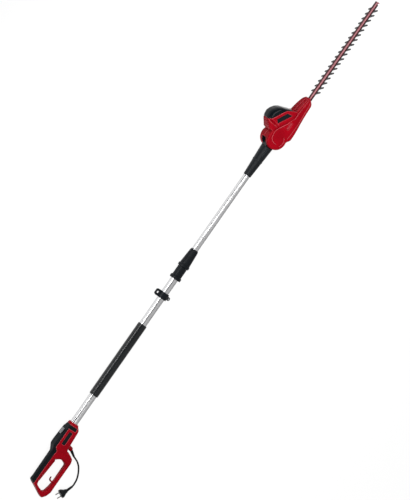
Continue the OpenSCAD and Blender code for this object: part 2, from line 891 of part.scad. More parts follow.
// Push button in the far cheek with the toothed star of the tilt lock; its keys slide in the arm
module tilt_button() {
  color("#1f2428") at_head() {
    difference() {
      union() {
        rod_z(button_r - clear, button_face, star_z[1]);
        rod_z(star_r, star_z[0] + 0.8, star_z[1]);
        for (a = [0:90:270]) rotate([0, 0, a + 45])
          slab(star_r - 1, star_r + key_rise, -2, 2, star_z[0] + 0.8, star_z[1]);
      }
      rod_z(pivot_d / 2 + clear, -15 - button_travel - 1, 0);
    }
    for (i = [0:star_teeth - 1]) rotate([0, 0, i * 360 / star_teeth])
      slab(button_r, star_r - 0.3, -0.8, 0.8, star_z[0], star_z[0] + 1);
  }
}

module tilt_spring() {
  color("silver") at_head()
    tube_along(coil(9, -hub_half + 4.8, -hub_half + 10.2, 4), 0.6, 6);
}

// ---------- head ----------

head_half = head_w / 2;
gear_x = motor_x + gear_module * (pinion_teeth + gear_teeth) / 2;
blade_top = -blade_depth + blade_t + 0.15;
blade_gap = 0.3;
slot_floor = -blade_depth - blade_t - 0.15 - 3;
plate_top = -11;
plate_t = 6;
gear_room_r = 32;
motor_room_r = stator_d / 2 + seat;
motor_room_top = 62;

// Each station of the head: x, lower edge, shoulder, upper edge, insets of the lower body and of
// the tower from the head's half width, radius below and radius on top
head_stations = [
  [4, -42, 26, 40, 0.5, 4, 9, 8],
  [17, -46, 30, 41, 0.5, 4, 9, 8],
  [20.5, -50, 31, 57, 0.5, 4, 10, 14],
  [31, -57, 31, 70, 0.5, 4, 12, 22],
  [43, -58, 26, 82, 0.5, 4, 14, 24],
  [50, -58, 21, 86.5, 0.5, 4, 14, 24],
  [58, -57.7, 17, cap_top - 2.5, 0.5, 4, 14, 24],
  [78, -56, 5, cap_top, 0.7, 4, 14, 24],
  [93, -54.5, -3, cap_top - 6, 1, 4, 14, 24],
  [109, -52.5, -11, cap_top - 18, 2, 4.5, 14, 24],
  [119, -52, -12, cap_top - 32, 3, 6, 13, 24],
  [128, -52, -13, cap_top - 58, 4.5, 7.5, 13, 22],
  [135, -51.5, -13.5, 14, 6, 9, 12, 12],
  [140, -51.5, -14, -3, 6.5, 9, 12, 5],
  [175, -51, -17, -9, 9, 11, 12, 4],
  [nose_len - 25, -50.5, -20, -13, 10.5, 12.5, 11, 4],
  [nose_len - 16, -47, -21, -14.5, 13, 15, 9, 4],
  [nose_len - 9, -42, -22, -16, 18, 20, 7, 4],
  [nose_len, -31, -25.5, -21, 26, 28, 1.2, 1.2]
];

// Height of the line on which the motor cap sits, at each station under the cap
cap_line = [
  [43, 81], [50, 83], [58, 74], [78, 62.5], [93, 54], [109, 44.5], [119, 36.5], [128, 20], [135, 6]
];
cap_first = 4;
cap_last = 12;

function cap_low(x) = lookup(x, cap_line);

// Where a rounded top with upper edge t and radius r begins above height y
function round_start(y, t, r) = y > t - r ? asin((y - t + r) / r) : 0;

// Half section of the red head, rounded below, with a ribbed shoulder, and either round or flat on
// top; the nose has a raised band along its top
function head_section(s, capped) =
  let (
    w = head_half - s[4],
    v = head_half - s[5],
    top = capped ? cap_low(s[0]) : s[3],
    r = capped ? 0.6 : s[7],
    edge = capped ? v - s[7] * (1 - cos(round_start(top, s[3], s[7]))) : v,
    rib = min(1.3, s[4] - 0.1),
    rise = s[0] >= 140 ? 1.2 : 0
  )
    concat(
      [[s[1], 0]],
      [for (a = [0:30:90]) [s[1] + s[6] * (1 - cos(a)), w - s[6] * (1 - sin(a))]],
      [[s[2] - 3, w], [s[2] - 2.2, w + rib], [s[2] - 0.6, w + rib], [s[2] + 1, v]],
      [for (a = [0:22.5:90]) [top - rise - r * (1 - sin(a)), edge - r * (1 - cos(a))]],
      [[top - rise, 6], [top, 4.6], [top, 0]]
    );

// Half section of the black cap above the line it sits on
function cap_section(s) =
  let (
    v = head_half - s[5],
    low = cap_low(s[0]),
    a0 = round_start(low, s[3], s[7])
  )
    concat(
      [[low, 0], [low, v - s[7] * (1 - cos(a0)) + 0.02]],
      [
        for (i = [1:6])
          let (a = a0 + (90 - a0) * i / 6)
            [s[3] - s[7] * (1 - sin(a)), v - s[7] * (1 - cos(a))]
      ],
      [[s[3], 0]]
    );

module head_form() {
  loft([
    for (i = [0:len(head_stations) - 1])
      let (s = head_stations[i])
        ring_at(s[0], head_section(s, i > cap_first && i <= cap_last))
  ]);
}

module cap_form() {
  loft([
    for (i = [cap_first + 1:cap_last])
      ring_at(head_stations[i][0], both_sides(cap_section(head_stations[i])))
  ]);
}

// Round cheek with a rounded rim, from the middle plane outwards
module cheek() {
  rim = 8;
  rotate_extrude() difference() {
    union() {
      square([cheek_r - rim, head_half]);
      square([cheek_r, head_half - rim]);
      translate([cheek_r - rim, head_half - rim]) circle(r = rim);
    }
    // groove round the raised disc
    translate([cheek_r - 12, head_half - 1]) square([1.6, 2]);
  }
}

// The room in which the arm swings, as a side outline round the pivot
arm_room = 25 + 2.5;
function on_circle(r, a) = [r * cos(a), r * sin(a)];
room_start = 180 - tilt_up - asin(arm_room / cheek_r);
room_end = 180 + tilt_down + asin(arm_room / cheek_r);

module fork_room() {
  rod_z(hub_r + 1.5, -slot_half, slot_half);
  side(concat(
    [[0, 0]],
    [for (i = [0:8]) on_circle(75, room_start + (room_end - room_start) * i / 8)]
  ), -slot_half, slot_half);
}

module head_rooms() {
  translate([motor_x, 0, 0]) {
    rod_y(motor_room_r, plate_top, motor_room_top);
    rod_y(15, motor_room_top - 1, motor_room_top + 20);
    rod_y(14, plate_top - plate_t - 14, plate_top + 1);
  }
  translate([gear_x, 0, 0]) rod_y(gear_room_r, blade_top + 0.6, plate_top);
  // chamber of the blade yokes and slot of the blades and their guard
  slab(gear_x - 38, gear_x + 38, slot_floor - 5, blade_top + 0.7, -24.5, 24.5);
  slab(gear_x + 30, nose_len + 1, slot_floor, blade_top + 0.7, -spine_w / 2 - 1, spine_w / 2 + 1);
  slab(
    nose_len - 37, nose_len + 1, blade_top, blade_top + 0.2 + guard_t + 0.1,
    -spine_w / 2 - seat, spine_w / 2 + seat
  );
}

// Louvres of the cooling air behind the motor cap
module louvres() {
  for (i = [0:4]) {
    p = [21 + 5.2 * i, 50 + 7.2 * i];
    translate([p[0] - 6, p[1], 0]) rotate([0, 0, -35]) slab(0, 20, 0, 2.8, -24, 24);
  }
  for (i = [0:4]) side([
    [40 + 4.6 * i, 38 - 2 * i], [42.4 + 4.6 * i, 38 - 2 * i],
    [42.4 + 4.6 * i, 52 - 2 * i], [40 + 4.6 * i, 52 - 2 * i]
  ], head_half - 5.5, head_half + 1);
}

head_screw_spots = [[33, -45], [59, -49], [150, -22], [178, -21], [40, 24], [116, 14]];

module head_half_form() {
  difference() {
    union() {
      head_form();
      cheek();
    }
    fork_room();
    louvres();
    head_rooms();
    rod_z(pivot_d / 2 + seat, -1, head_half + 1);
  }
}

module head_shell_left() {
  color("firebrick") at_head() difference() {
    head_half_form();
    rod_z(8 + seat, head_half - 12, head_half + 1);
    for (p = head_screw_spots) translate(p) rod_z(1.9, -1, 14);
    translate([0, 0, head_half - plate_sink]) linear_extrude(plate_sink) head_plate_outline();
    translate([0, 0, head_half - plate_sink + 2.2]) linear_extrude(plate_sink)
      offset(delta = 2) head_plate_outline();
  }
  color("firebrick") at_head() rod_z(10, head_half - 6.5, head_half);
}

module head_shell_right() {
  color("firebrick") at_head() difference() {
    mirror([0, 0, 1]) head_half_form();
    // bore of the tilt lock's button and the notches that its star drops into
    rod_z(button_r, -head_half - 1, 0);
    for (i = [0:star_teeth - 1]) rotate([0, 0, i * 360 / star_teeth])
      slab(button_r - 1, star_r, -1.2, 1.2, -slot_half - 1.5, -slot_half + 1);
    for (p = head_screw_spots) translate(p) {
      rod_z(2.1, -50, 1);
      rod_z(4, -50, -20);
    }
  }
}

module head_screws() {
  color("silver") at_head()
    for (p = head_screw_spots) translate(p) {
      rod_z(1.85, -21, 13);
      rod_z(3.6, -23.5, -20 - seat);
    }
}

head_plate_points = [[56, 40], [67, 54], [111, 30], [117, 3]];
plate_sink = 7.2;

module head_plate_outline() {
  polygon(head_plate_points);
}

module head_plate() {
  color("#22262a") at_head() translate([0, 0, head_half - plate_sink]) linear_extrude(1.6)
    offset(delta = -seat) head_plate_outline();
}

module motor_cap() {
  color("#22262a") at_head() difference() {
    cap_form();
    head_rooms();
  }
}

// ---------- motor ----------

module at_motor() {
  at_head() translate([motor_x, 0, 0]) children();
}

bearing_t = 6;
motor_bearing_r = 9;
shaft_top = motor_room_top + 16;
stator_y = [4, 42];

module stator() {
  color("#6d7074") at_motor() difference() {
    rod_y(stator_d / 2, stator_y[0], stator_y[1]);
    rod_y(armature_d / 2 + 0.8, stator_y[0] - 1, stator_y[1] + 1);
    for (a = [0, 180]) rotate([0, a, 0]) slab(-9, 9, stator_y[0] - 1, stator_y[1] + 1, 20, 24);
  }
}

module brush_gear() {
  color("#8a6a30") at_motor() difference() {
    union() {
      ring_y(stator_d / 2, 15, stator_y[1] + 4, stator_y[1] + 8);
      for (s = [-1, 1]) slab(s > 0 ? 12.6 : -26, s > 0 ? 26 : -12.6, stator_y[1] + 7.9, stator_y[1] + 15, -4, 4);
      ring_y(stator_d / 2, stator_d / 2 - 3, stator_y[1], stator_y[1] + 5);
    }
  }
}

module armature() {
  color("#b5763a") at_motor() {
    rod_y(motor_shaft_d / 4 - 2 * seat, gear_y[0] - 1.5, gear_y[1] + 1);
    rod_y(motor_shaft_d / 2, gear_y[1] + 0.5, shaft_top);
    ring_y(armature_d / 2, motor_shaft_d / 2 - eps, stator_y[0] + 3, stator_y[1] - 3);
    ring_y(12, motor_shaft_d / 2 - eps, stator_y[1] + 6, stator_y[1] + 18);
  }
}

module fan() {
  color("#2b2e31") at_motor() {
    ring_y(stator_d / 2 - 1, motor_shaft_d / 2, plate_top + 8.6, plate_top + 10.4);
    ring_y(8, motor_shaft_d / 2, plate_top + 8, plate_top + 13.5);
    for (i = [0:10]) rotate([0, i * 360 / 11, 0])
      slab(7, stator_d / 2 - 2, plate_top + 10.3, plate_top + 14, -0.9, 0.9);
  }
}

module motor_bearings() {
  color("silver") at_motor() {
    ring_y(motor_bearing_r, motor_shaft_d / 2 + run, plate_top, plate_top + bearing_t);
    ring_y(motor_bearing_r, motor_shaft_d / 2 + run, motor_room_top + 8, motor_room_top + 8 + bearing_t);
    ring_y(14.9, motor_bearing_r, motor_room_top + 6, motor_room_top + 12);
  }
}

// ---------- gears ----------

pressure = 25;
backlash = 0.14;

function involute_lag(a) = tan(a) * 180 / PI - a;

// Half the angle that a tooth spans at radius r
function tooth_half(teeth, r) =
  let (
    pitch_r = gear_module * teeth / 2,
    base_r = pitch_r * cos(pressure),
    a = acos(min(1, base_r / r))
  )
    90 / teeth - backlash / 2 / pitch_r * 180 / PI + involute_lag(pressure) - involute_lag(a);

function gear_outline(teeth) =
  let (
    pitch_r = gear_module * teeth / 2,
    tip = pitch_r + 0.8 * gear_module,
    root = pitch_r - 1.1 * gear_module,
    base = max(root + 0.05, pitch_r * cos(pressure)),
    radii = [root, base, (base + pitch_r) / 2, pitch_r, (pitch_r + tip) / 2, tip]
  )
    [
      for (k = [0:teeth - 1])
        let (mid = 360 * k / teeth)
          each concat(
            [for (r = radii) on_circle(r, mid - tooth_half(teeth, r))],
            [for (i = [len(radii) - 1:-1:0]) on_circle(radii[i], mid + tooth_half(teeth, radii[i]))]
          )
    ];

gear_y = [plate_top - plate_t - 1.2 - gear_w, plate_top - plate_t - 1.2];

module pinion() {
  color("silver") at_motor() difference() {
    rotate([0, 180 / pinion_teeth, 0]) plan(gear_y[0] - 0.8, gear_y[1]) polygon(gear_outline(pinion_teeth));
    rod_y(motor_shaft_d / 4 + seat, gear_y[0] - 5, gear_y[1] + 5);
  }
}

module at_gear() {
  at_head() translate([gear_x, 0, 0]) children();
}

module drive_gear() {
  color("#9a9da0") at_gear() difference() {
    plan(gear_y[0], gear_y[1]) polygon(gear_outline(gear_teeth));
    rod_y(gear_shaft_d / 2 + seat, gear_y[0] - 1, gear_y[1] + 1);
    ring_y(gear_module * gear_teeth / 2 - 6, 12, gear_y[1] - 2.5, gear_y[1] + 1);
    for (a = [0:60:300]) rotate([0, a, 0]) translate([18, 0, 0]) rod_y(4, gear_y[0] - 1, gear_y[1] + 1);
  }
}

eccentric_r = throw + gear_shaft_d / 2 + 1.5;
upper_y = [blade_top - blade_t, blade_top];
lower_y = [blade_top - 2 * blade_t - blade_gap, blade_top - blade_t - blade_gap];

module gear_shaft() {
  color("silver") at_gear() {
    rod_y(gear_shaft_d / 2, slot_floor - 4, plate_top - 0.5);
    translate([0, 0, throw]) rod_y(eccentric_r, upper_y[0] + 0.1, upper_y[1] - 0.1);
    translate([0, 0, -throw]) rod_y(eccentric_r, lower_y[0] + 0.1, lower_y[1] - 0.1);
  }
}

gear_bearing_r = 9.5;

module gear_bearings() {
  color("silver") at_gear() {
    ring_y(gear_bearing_r, gear_shaft_d / 2 + run, plate_top - plate_t, plate_top);
    ring_y(7, gear_shaft_d / 2 + run, slot_floor - 4.4, slot_floor - 0.6);
  }
}

module gear_plate() {
  color("#8d9196") at_gear() difference() {
    union() {
      rod_y(gear_room_r - seat, plate_top - plate_t, plate_top);
      slab(motor_x - gear_x - 4, 0, plate_top - plate_t, plate_top, -12.5, 12.5);
      translate([motor_x - gear_x, 0, 0]) rod_y(13.9, plate_top - plate_t, plate_top);
      translate([motor_x - gear_x, 0, 0]) rod_y(13, plate_top - 1, plate_top + bearing_t);
    }
    rod_y(gear_bearing_r + seat, plate_top - plate_t - 1, plate_top + 1);
    translate([motor_x - gear_x, 0, 0]) {
      rod_y(motor_bearing_r + seat, plate_top, plate_top + bearing_t + 1);
      rod_y(motor_shaft_d / 2 + 1, plate_top - plate_t - 1, plate_top + 1);
    }
  }
}

module base_plate() {
  color("#8d9196") at_gear() difference() {
    slab(-38 + seat, 38 - seat, slot_floor - 4.9, slot_floor - 0.5, -24.4, 24.4);
    rod_y(7 + seat, slot_floor - 6, slot_floor + 1);
  }
}

// ---------- blades ----------

blade_end = x_tip - x_pivot - 4 - throw - clear;
tooth_from = nose_len + first_tooth;
tooth_span = guard_len - first_tooth - tip_bare;
tooth_count = floor(tooth_span / tooth_pitch) + 1;
tooth_lean = 8;
side_stagger = 8;
yoke = [eccentric_r + 2 * throw + 0.5, eccentric_r + throw + 0.5];
yoke_rim = 5;
bolt_pitch = 4 * tooth_pitch;
bolt_from = nose_len + 14;
bolt_count = floor((guard_len - 40) / bolt_pitch) + 1;
spacer_r = 3.2;

// Points of one tooth, from its rear root to its front root
function tooth(x, lean) = [
  [x - 7, spine_w / 2], [x + lean - 3, tooth_reach - 1], [x + lean - 1, tooth_reach],
  [x + lean + 2, tooth_reach], [x + lean + 3, tooth_reach - 1.4], [x + 5.5, spine_w / 2 + 6],
  [x + 6, spine_w / 2]
];

// Points of one edge with all its teeth
function toothed_edge(from, lean) = [
  for (k = [0:tooth_count - 1]) each tooth(from + k * tooth_pitch, lean)
];

function backwards_mirrored(points) = [
  for (i = [len(points) - 1:-1:0]) [points[i][0], -points[i][1]]
];

module blade(levels) {
  yoke_x = [gear_x - yoke[0] - yoke_rim, gear_x + yoke[0] + yoke_rim];
  yoke_w = yoke[1] + yoke_rim - 1;
  neck = spine_w / 2;
  at_head() plan(levels[0], levels[1]) difference() {
    polygon(concat(
      [[yoke_x[0], -yoke_w], [yoke_x[0], yoke_w], [yoke_x[1], yoke_w], [yoke_x[1], neck]],
      toothed_edge(tooth_from, tooth_lean),
      [[blade_end, neck], [blade_end, -neck]],
      backwards_mirrored(toothed_edge(tooth_from + side_stagger, -tooth_lean)),
      [[yoke_x[1], -neck], [yoke_x[1], -yoke_w]]
    ));
    translate([gear_x - yoke[0], -yoke[1]]) square([2 * yoke[0], 2 * yoke[1]]);
    for (i = [0:bolt_count - 1]) translate([bolt_from + i * bolt_pitch, 0]) {
      square([2 * throw + 1, 2 * (spacer_r + clear)], center = true);
      for (s = [-1, 1]) translate([s * (throw + 0.5), 0]) circle(r = spacer_r + clear);
    }
  }
}

module upper_blade() {
  color("#6f7478") blade(upper_y);
}

module lower_blade() {
  color("#5d6266") blade(lower_y);
}

guard_y = [upper_y[1] + 0.3, upper_y[1] + 0.3 + guard_t];

module guard_bar() {
  tip = x_tip - x_pivot;
  color("firebrick") at_head() difference() {
    union() {
      plan(guard_y[0], guard_y[1]) union() {
        translate([nose_len - 36, -spine_w / 2]) square([guard_len + 34, spine_w]);
        translate([tip - 4, -spine_w / 2 + 2]) square([4, spine_w - 4]);
        for (s = [-1, 1]) translate([tip - 2, s * (spine_w / 2 - 2)]) circle(r = 2);
      }
      // blunt tip that covers the blades' ends
      slab(tip - 3.5, tip, lower_y[0] - 1, guard_y[1] - 1, -spine_w / 2 + 2, spine_w / 2 - 2);
    }
    for (i = [0:bolt_count - 1]) translate([bolt_from + i * bolt_pitch, 0, 0])
      rod_y(2.5 + seat, guard_y[0] - 10, guard_y[1] - 1);
  }
}

module blade_bolts() {
  color("silver") at_head()
    for (i = [0:bolt_count - 1]) translate([bolt_from + i * bolt_pitch, 0, 0]) {
      rod_y(2.5, guard_y[0] - 1, guard_y[1] - 1 - seat);
      rod_y(spacer_r, lower_y[0] - 0.35, guard_y[0] - seat);
      rod_y(5.4, lower_y[0] - 1.6, lower_y[0] - 0.3);
      translate([0, lower_y[0] - 1.6, 0]) rotate([90, 0, 0]) cylinder(r = 4, h = 2.4, $fn = 6);
    }
}

handle_shell_left();
handle_shell_right();
grip_cover();
front_collar();
handle_plate();
trigger();
trigger_pin();
trigger_spring();
switch_body();
switch_plunger();
lock_off_slider();
cable_clamp();
handle_screws();
cord_gland();
strain_relief();
cord();
plug_relief();
plug_body();
plug_pins();
outer_tube();
foam_grip();
strap_clamp();
clamp_bolt();
lock_body();
lock_nut();
collet();
inner_tube();
guide_bush();
coiled_cable();
inner_lead();
arm_left();
arm_right();
arm_screws();
pivot_bolt();
tilt_button();
tilt_spring();
head_shell_left();
head_shell_right();
motor_cap();
head_plate();
head_screws();
stator();
brush_gear();
armature();
fan();
pinion();
motor_bearings();
gear_plate();
base_plate();
drive_gear();
gear_shaft();
gear_bearings();
upper_blade();
lower_blade();
guard_bar();
blade_bolts();
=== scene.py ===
# Dresses the pole hedge trimmer: materials, finished forms, cord, camera, light and floor.
import bpy
import bmesh
import numpy as np
import json
import math
from mathutils import Matrix, Vector


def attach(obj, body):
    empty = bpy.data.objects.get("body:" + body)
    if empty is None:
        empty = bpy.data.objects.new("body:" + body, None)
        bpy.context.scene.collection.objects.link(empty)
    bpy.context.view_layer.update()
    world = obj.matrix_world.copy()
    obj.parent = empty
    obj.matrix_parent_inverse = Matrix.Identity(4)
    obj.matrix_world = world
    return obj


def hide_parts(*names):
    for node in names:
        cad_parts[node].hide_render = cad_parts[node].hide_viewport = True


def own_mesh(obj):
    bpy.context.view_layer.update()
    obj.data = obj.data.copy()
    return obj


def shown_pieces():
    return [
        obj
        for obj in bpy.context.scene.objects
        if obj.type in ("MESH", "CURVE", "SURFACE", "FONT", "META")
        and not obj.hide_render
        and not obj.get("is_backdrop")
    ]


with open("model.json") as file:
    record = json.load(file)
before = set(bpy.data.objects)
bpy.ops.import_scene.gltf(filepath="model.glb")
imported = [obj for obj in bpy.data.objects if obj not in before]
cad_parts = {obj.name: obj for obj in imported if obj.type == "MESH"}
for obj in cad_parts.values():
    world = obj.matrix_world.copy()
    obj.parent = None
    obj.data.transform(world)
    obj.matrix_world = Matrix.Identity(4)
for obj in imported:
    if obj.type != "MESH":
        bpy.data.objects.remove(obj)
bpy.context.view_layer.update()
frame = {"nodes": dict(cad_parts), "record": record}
nodes = frame["nodes"]

# The part's frame: the handle's rear end and the tilt pivot, on the pole's axis
REAR = Vector((-1.2268, 0.0, 0.040))
PIVOT = Vector((0.5258, 0.0, 0.040))
FLOOR_Z = 0.0
FLOOR_HALF = 60.0                 # half the floor's side, out to where no view sees its edge
WELD = 0.000002                   # points closer than this are one


def added(name, data):
    """A new object in the scene."""
    obj = bpy.data.objects.new(name, data)
    bpy.context.scene.collection.objects.link(obj)
    return obj


# ---------- camera ----------

W, H = 410, 500
L = max(W, H)
LENS = 200.0
SENSOR = 36.0
PX = 0.00409                      # metres to one pixel at the pole
ROLL = math.radians(55.05)        # direction of +X in the picture
LEAN = math.radians(30)           # how far the view leans from +Z to +Y
TOWARDS = Vector((0.0, math.sin(LEAN), math.cos(LEAN)))
ACROSS = TOWARDS.cross(Vector((1, 0, 0)))
RIGHT = math.cos(ROLL) * Vector((1, 0, 0)) - math.sin(ROLL) * ACROSS
UP = math.sin(ROLL) * Vector((1, 0, 0)) + math.cos(ROLL) * ACROSS
# What the middle of the picture shows: 5.36 pixels right of the frame's middle and 6.9 below it
AIM = Vector((0, 0, 0.040)) + PX * (5.36 * RIGHT - 6.9 * UP)
DISTANCE = PX * L * LENS / SENSOR

camera_data = bpy.data.cameras.new("camera")
camera_data.lens = LENS
camera_data.sensor_width = SENSOR
camera_data.sensor_fit = "AUTO"
camera_data.clip_end = 100.0
camera = added("camera", camera_data)
place = Matrix((RIGHT, UP, TOWARDS)).transposed().to_4x4()
place.translation = AIM + DISTANCE * TOWARDS
camera.matrix_world = place
bpy.context.scene.camera = camera


def seen_at(p):
    """Where a point shows, in pixels of the photograph's frame."""
    q = place.inverted() @ Vector(p)
    k = L * LENS / SENSOR / -q.z
    return W / 2 + q.x * k, H / 2 - q.y * k


# ---------- materials ----------

def shader(name, base, rough=0.5, metal=0.0, **sockets):
    """A Principled material; returns it with its tree and shader node."""
    m = bpy.data.materials.new(name)
    m.use_nodes = True
    tree = m.node_tree
    p = tree.nodes["Principled BSDF"]
    p.inputs["Base Color"].default_value = (*base, 1)
    p.inputs["Roughness"].default_value = rough
    p.inputs["Metallic"].default_value = metal
    for k, v in sockets.items():
        p.inputs[k.replace("_", " ")].default_value = v
    return m, tree, p


def noise(tree, scale, detail=3.0, stretch=(1, 1, 1)):
    """A noise in the object's own coordinates; stretch is a scale for each axis."""
    at = tree.nodes.new("ShaderNodeTexCoord")
    fit = tree.nodes.new("ShaderNodeMapping")
    fit.inputs["Scale"].default_value = stretch
    n = tree.nodes.new("ShaderNodeTexNoise")
    n.inputs["Scale"].default_value = scale
    n.inputs["Detail"].default_value = detail
    tree.links.new(at.outputs["Object"], fit.inputs["Vector"])
    tree.links.new(fit.outputs["Vector"], n.inputs["Vector"])
    return n.outputs["Fac"]


def ramp(tree, value, low, high, a=0.3, b=0.7):
    """Goes from the colour low to the colour high as the value goes from a to b."""
    r = tree.nodes.new("ShaderNodeValToRGB")
    r.color_ramp.elements[0].position = a
    r.color_ramp.elements[1].position = b
    r.color_ramp.elements[0].color = (*low, 1)
    r.color_ramp.elements[1].color = (*high, 1)
    tree.links.new(value, r.inputs["Fac"])
    return r.outputs["Color"]


def bump(tree, p, height, strength, distance):
    """Roughens the shader's normal by the height."""
    b = tree.nodes.new("ShaderNodeBump")
    b.inputs["Strength"].default_value = strength
    b.inputs["Distance"].default_value = distance
    tree.links.new(height, b.inputs["Height"])
    tree.links.new(b.outputs["Normal"], p.inputs["Normal"])


EDGE_HIGHLIGHT_BEND = (0.510, 0.550)         # pointiness at which the painted highlight on convex edges starts, and is full
CORNER_SHADE_BEND = (0.490, 0.450)        # the same for the painted shade in inner corners


def plastic(name, base, rough, grain=1800.0, depth=0.00006, spread=0.12, edge_highlight=None, corner_shade=None,
            **sockets):
    """Moulded plastic with a fine grain, faint colour variation and uneven gloss; the edge colour
    is a painted highlight on convex edges, the corner colour painted shade in inner corners."""
    m, tree, p = shader(name, base, rough, **sockets)
    low = [c * (1 - spread) for c in base]
    high = [min(1, c * (1 + spread)) for c in base]
    colour = ramp(tree, noise(tree, 14.0), low, high)
    bend = tree.nodes.new("ShaderNodeNewGeometry").outputs["Pointiness"]
    # By pointiness, convex edges take a painted highlight and inner corners painted shade
    for tint, (a, b) in ((edge_highlight, EDGE_HIGHLIGHT_BEND), (corner_shade, CORNER_SHADE_BEND)):
        if tint:
            much = ramp(tree, bend, (0, 0, 0), (1, 1, 1), a, b) if a < b else \
                ramp(tree, bend, (1, 1, 1), (0, 0, 0), b, a)
            blend = tree.nodes.new("ShaderNodeMixRGB")
            blend.inputs["Color2"].default_value = (*tint, 1)
            tree.links.new(much, blend.inputs["Fac"])
            tree.links.new(colour, blend.inputs["Color1"])
            colour = blend.outputs["Color"]
    tree.links.new(colour, p.inputs["Base Color"])
    tree.links.new(ramp(tree, noise(tree, 60.0), [rough - 0.05] * 3, [rough + 0.07] * 3),
                   p.inputs["Roughness"])
    bump(tree, p, noise(tree, grain, 2.0), 0.5, depth)
    return m


def drawn_metal(name, base, rough, stretch, spread=0.08, metal=1.0):
    """Metal with fine draw or grinding marks along one axis."""
    m, tree, p = shader(name, base, rough, metal)
    marks = noise(tree, 900.0, 4.0, stretch)
    tree.links.new(ramp(tree, marks, [c * (1 - spread) for c in base],
                        [min(1, c * (1 + spread)) for c in base]), p.inputs["Base Color"])
    tree.links.new(ramp(tree, marks, [rough - 0.06] * 3, [rough + 0.08] * 3), p.inputs["Roughness"])
    bump(tree, p, marks, 0.2, 0.00002)
    return m


def paint_light_bands(m, middle, half, stops):
    """Paints bands of shade and highlight into a material by height z, from half below to half
    above the middle.
    """
    tree = m.node_tree
    at = tree.nodes.new("ShaderNodeTexCoord")
    parts = tree.nodes.new("ShaderNodeSeparateXYZ")
    fit = tree.nodes.new("ShaderNodeMapRange")
    fit.inputs["From Min"].default_value = middle - half
    fit.inputs["From Max"].default_value = middle + half
    r = tree.nodes.new("ShaderNodeValToRGB")
    while len(r.color_ramp.elements) < len(stops):
        r.color_ramp.elements.new(1.0)
    for element, (place_at, colour) in zip(r.color_ramp.elements, stops):
        element.position = place_at
        element.color = (*colour, 1)
    tree.links.new(at.outputs["Object"], parts.inputs[0])
    tree.links.new(parts.outputs["Z"], fit.inputs["Value"])
    tree.links.new(fit.outputs["Result"], r.inputs["Fac"])
    tree.links.new(r.outputs["Color"], tree.nodes["Principled BSDF"].inputs["Base Color"])


RED_TONE = (0.38, 0.0015, 0.0095)
BLACK_TONE = (0.0055, 0.0078, 0.0105)
RED = plastic("red_plastic", RED_TONE, 0.34, Specular_IOR_Level=0.04)
# Red moulding with a painted highlight on its convex edges and painted shade in its inner corners
RED_PAINTED_LIGHT = plastic("red_moulding_painted_light", RED_TONE, 0.32, edge_highlight=(0.74, 0.13, 0.16),
                    corner_shade=(0.10, 0.0005, 0.003), Specular_IOR_Level=0.04)
# A darker copy of the shell's red for the cord's hook: painted shade
HOOK_SHADE_RED = plastic("hook_red_painted_shade", (0.17, 0.001, 0.005), 0.40, Specular_IOR_Level=0.04)
BLACK = plastic("black_plastic", BLACK_TONE, 0.42, spread=0.2, Specular_IOR_Level=0.16)
# Black moulding with a painted highlight on its convex edges
BLACK_PAINTED_LIGHT = plastic("black_moulding_painted_light", BLACK_TONE, 0.40, spread=0.2,
                      edge_highlight=(0.05, 0.06, 0.065), Specular_IOR_Level=0.24)
GLOSS = plastic("gloss_black", BLACK_TONE, 0.14, spread=0.2, Specular_IOR_Level=0.10)
GREY = plastic("grey_plastic", (0.30, 0.31, 0.32), 0.45)
# The soft grip carries a painted highlight on its convex edges
SOFT = plastic("soft_grip", (0.006, 0.0078, 0.010), 0.46, grain=2600.0, depth=0.00012, spread=0.2,
               edge_highlight=(0.045, 0.058, 0.060), Specular_IOR_Level=0.08)
CABLE = plastic("cable_sheath", (0.006, 0.007, 0.009), 0.42, spread=0.2, Specular_IOR_Level=0.2)
FOAM = plastic("foam", (0.0045, 0.0062, 0.0078), 0.27, grain=900.0, depth=0.0004, spread=0.3,
               Specular_IOR_Level=0.42)
GUARD = plastic("guard_lacquer_painted_light", (0.46, 0.095, 0.115), 0.24, grain=700.0, depth=0.00004,
                Specular_IOR_Level=0.1)
GUARD_LIGHT_HALF = 0.012                # half the width over which the guard bar's painted shade and highlight run
# Painted shade along the bar's edges and a painted highlight along its pale middle, by height
# across it
paint_light_bands(GUARD, REAR.z, GUARD_LIGHT_HALF, [
    (0.0, (0.045, 0.004, 0.006)), (0.34, (0.06, 0.008, 0.010)), (0.56, (0.30, 0.08, 0.09)),
    (0.70, (0.80, 0.34, 0.38)), (0.86, (0.80, 0.34, 0.38)), (0.93, (0.12, 0.02, 0.025)),
])
TUBE = drawn_metal("tube_aluminium", (0.74, 0.74, 0.75), 0.26, (0.02, 1, 1))
STEEL = drawn_metal("zinc_steel", (0.46, 0.47, 0.48), 0.32, (1, 1, 1))
BLADE = drawn_metal("blade_steel", (0.085, 0.084, 0.086), 0.38, (1, 1, 0.03))
NICKEL = drawn_metal("nickel", (0.40, 0.39, 0.37), 0.26, (1, 1, 1))
COPPER = drawn_metal("copper", (0.55, 0.24, 0.12), 0.35, (1, 0.1, 1))
CAST = drawn_metal("die_casting", (0.40, 0.41, 0.42), 0.5, (1, 1, 1), metal=0.8)
# The grey specular tint dims the tube's reflections towards its edges: painted shade along them
TUBE.node_tree.nodes["Principled BSDF"].inputs["Specular Tint"].default_value = (0.3, 0.3, 0.3, 1)

BY_SLOT = {
    "red_shell": RED, "black_shell": BLACK, "soft_grip": SOFT, "foam": FOAM, "tube": TUBE,
    "steel": STEEL, "blade": BLADE, "guard": GUARD, "cable": CABLE, "plug_metal": NICKEL,
    "winding": COPPER, "casting": CAST, "grey_plastic": GREY,
}
SLOT_OF = {s["node"]: s["material_slot"] for s in frame["record"]["subparts"]}
# Moulded shells of these slots take a painted highlight on their edges, the red ones also painted
# shade in inner corners
PAINTED_LIGHT_BY_SLOT = {"red_shell": RED_PAINTED_LIGHT, "black_shell": BLACK_PAINTED_LIGHT}


